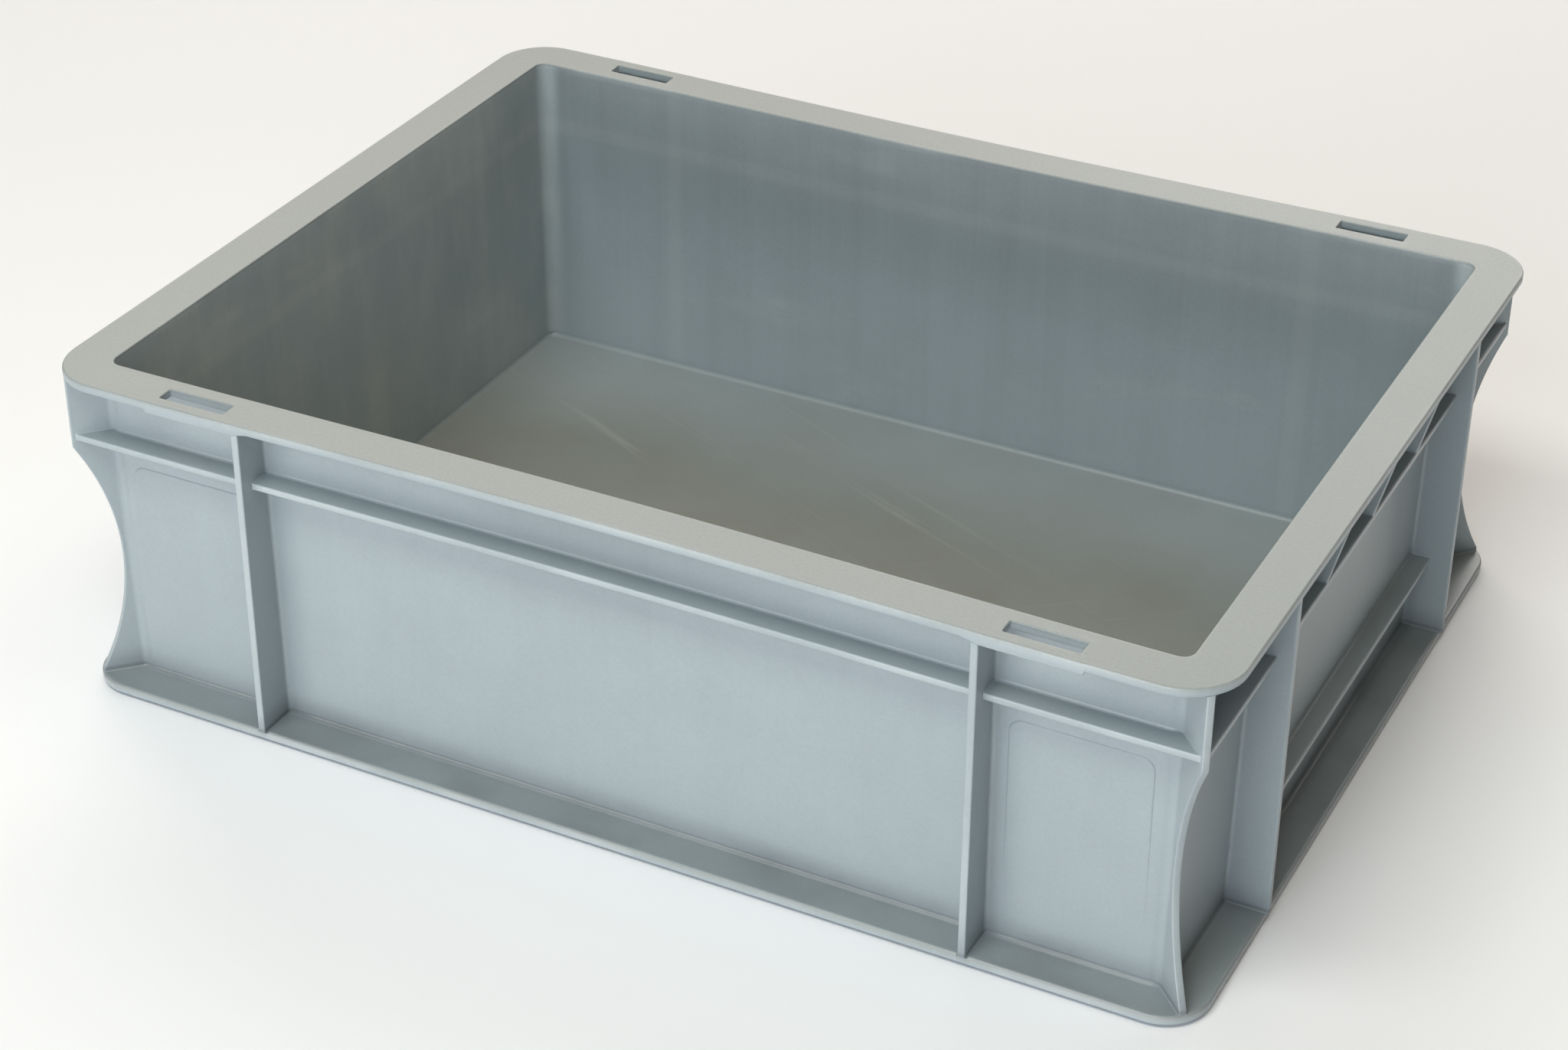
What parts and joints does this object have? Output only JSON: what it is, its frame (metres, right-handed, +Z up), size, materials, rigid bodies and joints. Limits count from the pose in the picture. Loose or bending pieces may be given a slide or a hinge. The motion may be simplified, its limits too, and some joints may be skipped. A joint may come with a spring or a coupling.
{
  "type": "stacking crate",
  "caption": "Low stacking plastic crate with closed walls, a flat rim, outer stiffening ribs and hollowed corner fins, for the 400 x 300 mm pallet module.",
  "frame": {"origin": "centre of the crate's footprint, on the plane it stands on", "axes": "+X along the 400 mm side, +Y along the 300 mm side, +Z up"},
  "size_m": [0.4, 0.3, 0.12],
  "materials": {
    "crate_plastic": "satin moulded polypropylene, light blue-grey"
  },
  "bodies": {
    "root": {"floor_panel": "crate_plastic", "foot_front": "crate_plastic", "foot_right": "crate_plastic", "foot_back": "crate_plastic", "foot_left": "crate_plastic", "wall_front": "crate_plastic", "wall_right": "crate_plastic", "wall_back": "crate_plastic", "wall_left": "crate_plastic", "wall_corner_front_left": "crate_plastic", "wall_corner_front_right": "crate_plastic", "wall_corner_back_left": "crate_plastic", "wall_corner_back_right": "crate_plastic", "rim_front": "crate_plastic", "rim_right": "crate_plastic", "rim_back": "crate_plastic", "rim_left": "crate_plastic", "flange_front": "crate_plastic", "flange_right": "crate_plastic", "flange_back": "crate_plastic", "flange_left": "crate_plastic", "fin_front_left": "crate_plastic", "fin_front_right": "crate_plastic", "fin_back_left": "crate_plastic", "fin_back_right": "crate_plastic", "rib_front_left": "crate_plastic", "rib_front_right": "crate_plastic", "belt_front_left": "crate_plastic", "belt_front_middle": "crate_plastic", "belt_front_right": "crate_plastic", "rib_back_left": "crate_plastic", "rib_back_right": "crate_plastic", "belt_back_left": "crate_plastic", "belt_back_middle": "crate_plastic", "belt_back_right": "crate_plastic", "rib_left_front": "crate_plastic", "rib_left_back": "crate_plastic", "belt_left_front": "crate_plastic", "belt_left_middle": "crate_plastic", "belt_left_back": "crate_plastic", "mid_rib_left": "crate_plastic", "gusset_left_1": "crate_plastic", "gusset_left_2": "crate_plastic", "gusset_left_3": "crate_plastic", "rib_right_front": "crate_plastic", "rib_right_back": "crate_plastic", "belt_right_front": "crate_plastic", "belt_right_middle": "crate_plastic", "belt_right_back": "crate_plastic", "mid_rib_right": "crate_plastic", "gusset_right_1": "crate_plastic", "gusset_right_2": "crate_plastic", "gusset_right_3": "crate_plastic"}
  },
  "joints": []
}
